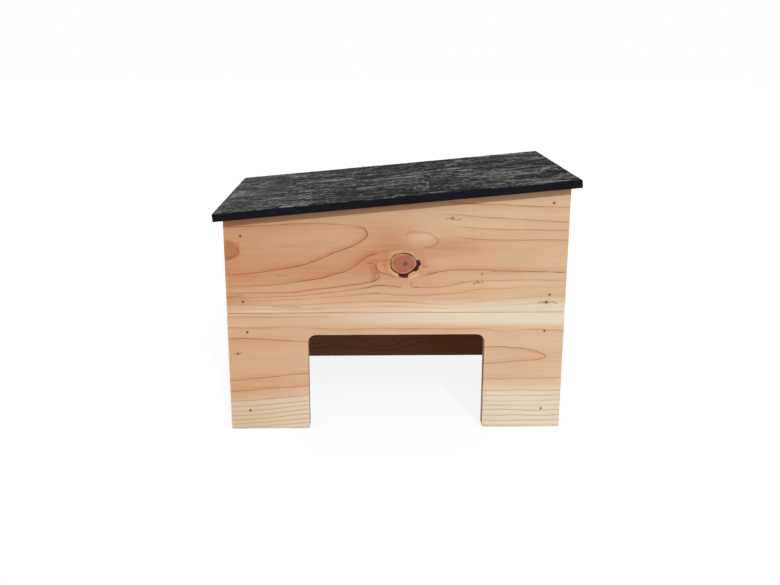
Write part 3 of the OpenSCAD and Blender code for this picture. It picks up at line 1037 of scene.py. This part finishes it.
def strand_shape(rng, at, size, turn, lift, depth, long_cuts=LONG_CUTS, wide_cuts=WIDE_CUTS):
    """One strand, closed underneath and moved in from the panel's edges: its points, each with its place
    (a, b, height), its place on the strand (along, across) and whether it is on the rim, and its faces."""
    length, width = size
    s, t = np.meshgrid(long_cuts, wide_cuts, indexing="ij")
    ends = 1 + rng.uniform(-0.14, 0.14, len(wide_cuts))
    sides = 1 + rng.uniform(-0.16, 0.16, len(long_cuts))
    along = s * length * ends
    across = t * width * sides[:, None] + 0.03 * length * rng.uniform(-1, 1) * (2 * s) ** 2
    bend = 0.09 * np.sin(3 * s + rng.uniform(0, TURN)) + 0.1 * rng.uniform(-1, 1) * 2 * t
    rim = np.ones(s.shape, bool)
    rim[1:-1, 1:-1] = False
    height = np.where(rim, -depth - STRAND_BITE, np.minimum(bend - lift, 0))
    cos, sin = math.cos(turn), math.sin(turn)
    places = [at[0] + along * cos - across * sin, at[1] + along * sin + across * cos]
    for axis, span in enumerate((ROOF_LENGTH, ROOF_DEPTH)):
        over = np.abs(places[axis]).max() - (span / 2 - STRAND_MARGIN)
        places[axis] -= np.copysign(max(over, 0), at[axis])

    order = np.arange(s.size).reshape(s.shape)
    faces = [[*order[0, :-1], *order[:-1, -1], *order[-1, :0:-1], *order[:0:-1, 0]]]
    rows, columns = len(long_cuts) - 1, len(wide_cuts) - 1
    for i, j in np.ndindex(rows, columns):
        quad = [order[i, j], order[i + 1, j], order[i + 1, j + 1], order[i, j + 1]]
        if i in (0, rows - 1) and j in (0, columns - 1):
            # Each corner is split so that neither half lies flat on the underside
            split = (i == 0) != (j == 0)
            quad = quad[split:] + quad[:split]
            faces += [quad[:3], [quad[0], quad[2], quad[3]]]
        else:
            faces.append(quad)
    return np.stack([*places, height, along, across, rim], -1).reshape(-1, 6), faces


def strands(rng, depth, count):
    """Strands over the whole panel, no higher than 0 and with their rims at the depth."""
    for _ in range(count):
        at = rng.uniform(-0.5, 0.5, 2) * (ROOF_LENGTH, ROOF_DEPTH)
        turn = rng.normal(0, 0.17) if rng.random() < 0.88 else rng.uniform(-1.5, 1.5)
        size = rng.uniform(45, 115), rng.uniform(7, 22)
        yield strand_shape(rng, at, size, turn, rng.uniform(0.05, 0.85) * depth, depth)


def chips(rng, depth, heaps, each):
    """Short broken pieces that lie in loose heaps between the strands."""
    for _ in range(heaps):
        middle = rng.uniform(-0.5, 0.5, 2) * (ROOF_LENGTH, ROOF_DEPTH)
        for _ in range(each):
            at = rng.normal(middle, (38, 20))
            size = rng.uniform(7, 30), rng.uniform(2.5, 8)
            turn = rng.normal(0, 0.6)
            yield strand_shape(rng, at, size, turn, rng.uniform(0, 0.4) * depth, depth, CHIP_CUTS, CHIP_CUTS)


def crossing_strands(rng, depth, count):
    """Strands that lie across the others, right of the panel's middle."""
    for _ in range(count):
        at = rng.uniform(36, 68), rng.uniform(-135, 60)
        size = rng.uniform(40, 80), rng.uniform(8, 16)
        yield strand_shape(rng, at, size, rng.normal(TURN / 4, 0.16), rng.uniform(0, 0.1), depth)


def roof():
    """The panel, with strands and chips pressed into both faces and plain sides."""
    thickness = ROOF_T - STRAND_TOP - STRAND_UNDER
    side = ROOF_DEPTH / 2
    corners = four_sided(-ROOF_LENGTH / 2, ROOF_LENGTH / 2, -side, side, side, PANEL_R)
    shell = Shell(corners, thickness, arris=0.8, step=8, seed=61)
    up = COS * UP - SIN * RIGHT
    origin = (roof_low + roof_high) / 2 + up * (ROOF_T / 2 - STRAND_TOP)
    placing = Placing(origin, COS * RIGHT + SIN * UP, BACK, -up)

    rng = np.random.default_rng(62)
    top = [*strands(rng, STRAND_TOP, count=620), *chips(rng, STRAND_TOP, heaps=44, each=55),
           *crossing_strands(rng, STRAND_TOP, count=16)]
    under = [*strands(rng, STRAND_UNDER, count=320), *chips(rng, STRAND_UNDER, heaps=16, each=40)]

    total = plain = len(shell.points)
    on_side = smooth(np.hypot(*shell.normals[:, :2].T), 0.4, 0.9)
    rows = [np.column_stack([shell.points, shell.points[:, :2], np.tile((0, 0.5, 0), (plain, 1))])]
    for group, base, sign in ((top, -STRAND_TOP, -1), (under, thickness + STRAND_UNDER, 1)):
        for points, faces in group:
            points[:, 2] = base + sign * points[:, 2]
            chance = rng.random(), rng.uniform(0, 9e6)
            rows.append(np.column_stack([points, np.tile(chance, (len(points), 1))]))
            shell.faces += [[total + v for v in face[::-sign]] for face in faces]
            total += len(points)
    a, b, depth, along, across, rim, flake, shift = np.concatenate(rows).T
    shell.add(np.stack([a, b], 1)[plain:], depth[plain:])
    values = dict(
        flake=flake,
        fibre=np.stack([along, across, shift], 1) * MM,
        place=shell.points * MM,
        rim=rim,
        side=np.pad(on_side, (0, total - plain)),
    )
    piece("roof_panel", shell, placing, values, "roof", black_paint())


def black_paint():
    """Matt black paint over strands, each in its own grey with streaks and a dark rim.
    The grey is partly paint worn thin and partly a painted sheen; the dark rim is painted shade in the gaps
    between strands.
    """
    shader = material("black_paint")
    fibre = shader.read("fibre", "Vector")
    place = shader.read("place", "Vector")
    flake = shader.read("flake")
    side = shader.read("side")
    regions = place.noise((8, 18, 1)) - 0.5
    streaks = fibre.noise((14, 130, 1), detail=4, roughness=0.6, distortion=0.3)
    crumbs = place.noise((150, 90, 200), detail=3, roughness=0.65)
    # The strands' grey: partly worn paint, partly a painted sheen of the black paint on the faces.
    wear_and_sheen = 0.7 * flake ** 1.5 - 0.27 + 3 * (streaks - 0.5) + 1.6 * (crumbs - 0.5) + regions
    dark = (17, 16, 17)
    tint = flake.random().mix((140, 133, 130), (134, 134, 129))
    # The dark rim is painted shade in the gaps between strands.
    colour = (shader.read("rim") * 0.8).mix(wear_and_sheen.mix(dark, tint), dark)
    painted = crumbs.fade(0.6, 0.72).mix((25, 24, 29), (42, 40, 46))
    height = (0.8 * streaks + 0.6 * crumbs) * (1 - 0.92 * side)
    return shader.set(Base_Color=side.mix(colour, painted), Roughness=0.47 + 0.3 * crumbs,
                      Normal=height.bump(0.6, 0.0012), Specular_IOR_Level=0.012)


roof()


# Steel

def zinc():
    """Bright zinc plating on pressed steel: faint crystals, fine scratches and dull patches."""
    shader = material("zinc_plating")
    place = shader.node("TexCoord", (), "Object")
    spangle = shader.node("TexVoronoi", {"Vector": place, "Scale": 420}, "Color")
    scratches = place.noise((60, 1600, 1600), detail=3)
    dull = place.noise((90, 90, 90), detail=3)
    colour = (0.5 * spangle + 0.5 * (scratches - 0.5)).mix((138, 140, 144), (190, 191, 193))
    colour = dull.fade(0.55, 0.75, 0, 0.5).mix(colour, (116, 114, 112))
    return shader.set(Base_Color=colour, Roughness=0.3 + 0.25 * dull, Metallic=1,
                      Normal=scratches.bump(0.25, 0.0001))


def dulled_steel():
    """Nail heads: dark, dull steel with brown spots."""
    shader = material("nail_heads")
    place = shader.node("TexCoord", (), "Object")
    spots = place.noise((900, 900, 900), detail=3)
    grain = place.noise((3500, 3500, 3500))
    colour = spots.fade(0.4, 0.65).mix((58, 40, 30), (54, 30, 18))
    return shader.set(Base_Color=colour, Roughness=0.6 + 0.3 * spots, Metallic=0.1, Specular_IOR_Level=0.2,
                      Normal=grain.bump(0.4, 0.0001))


def dress(word, look):
    """Puts a material on the CAD nodes that have the word in their names."""
    for name, node in frame["nodes"].items():
        if word in name:
            node.data.materials.clear()
            node.data.materials.append(look)


dress("_hinge", zinc())
dress("_nails", dulled_steel())


# Floor, light and camera

FLOOR_REACH = 14.0  # metres
FLOOR_GAP = 0.0002  # metres, so that the floor doesn't touch the feet
PHOTO_WIDTH = 780
FOCAL_LENGTH = 913.4  # in the photograph's pixels
SENSOR_WIDTH = 36
CAMERA_AT = -43.444, FRONT_Y - 1295.404, 565.434
CAMERA_TURNS = -1.485, 15.16, 0.17  # degrees to the left, down and round


def floor():
    """A pale floor that looks white to the camera, keeps the shadow, and throws little light back."""
    mesh = bpy.data.meshes.new("floor")
    corners = [(x * FLOOR_REACH, y * FLOOR_REACH, 0) for x, y in ((-1, -1), (1, -1), (1, 1), (-1, 1))]
    mesh.from_pydata(corners, [], [(0, 1, 2, 3)])
    made = add_object("floor", mesh)
    made.location.z = -FLOOR_GAP
    shader = material("floor")
    seen = shader.seen()
    colour = seen.mix((0.32, 0.32, 0.32, 1), (0.12, 0.12, 0.12, 1))
    mesh.materials.append(shader.set(
        Base_Color=colour, Roughness=0.9, Specular_IOR_Level=0.0,
        Emission_Color=(1, 1, 1, 1), Emission_Strength=seen * 0.89))
    made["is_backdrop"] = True


def sky():
    """Even, slightly warm light from all round, white where it is seen."""
    world = bpy.data.worlds.new("studio")
    bpy.context.scene.world = world
    shader = Shader(world, "Background")
    shader.set(Color=shader.seen().mix((0.82, 0.715, 0.685, 1), (1, 1, 1, 1)))


def studio_light(name, way, energy, colour, spread):
    """A lamp as far off as the sun, shining along the way. The spread, in degrees, softens its shadows."""
    lamp = bpy.data.lights.new(name, "SUN")
    lamp.energy = energy
    lamp.color = colour
    lamp.angle = math.radians(spread)
    add_object(name, lamp).rotation_euler = Vector(way).to_track_quat("-Z", "Y").to_euler()


def camera():
    """Stands where the photograph's outlines put it, a little above the roof and left of the middle."""
    lens = bpy.data.cameras.new("camera")
    lens.sensor_width = SENSOR_WIDTH
    lens.lens = FOCAL_LENGTH * SENSOR_WIDTH / PHOTO_WIDTH
    made = add_object("camera", lens)
    yaw, pitch, roll = (math.radians(turn) for turn in CAMERA_TURNS)
    turned = Matrix.Rotation(yaw, 4, "Z") @ Matrix.Rotation(math.pi / 2 - pitch, 4, "X")
    made.matrix_world = Matrix.Translation(Vector(CAMERA_AT) * MM) @ turned @ Matrix.Rotation(roll, 4, "Z")
    bpy.context.scene.camera = made


floor()
sky()
studio_light("key", way=(-0.25, 1.0, -0.8), energy=1.95, colour=(0.815, 1.015, 1.074), spread=1.5)
studio_light("fill", way=(0.45, -1.0, -0.35), energy=1.1, colour=(0.9, 1.0, 1.03), spread=30)
camera()
bpy.context.scene.view_settings.view_transform = "Standard"

boxes = {"cad": cad_box, "visual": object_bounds()}
{name: [list(corner) for corner in box] for name, box in boxes.items()}
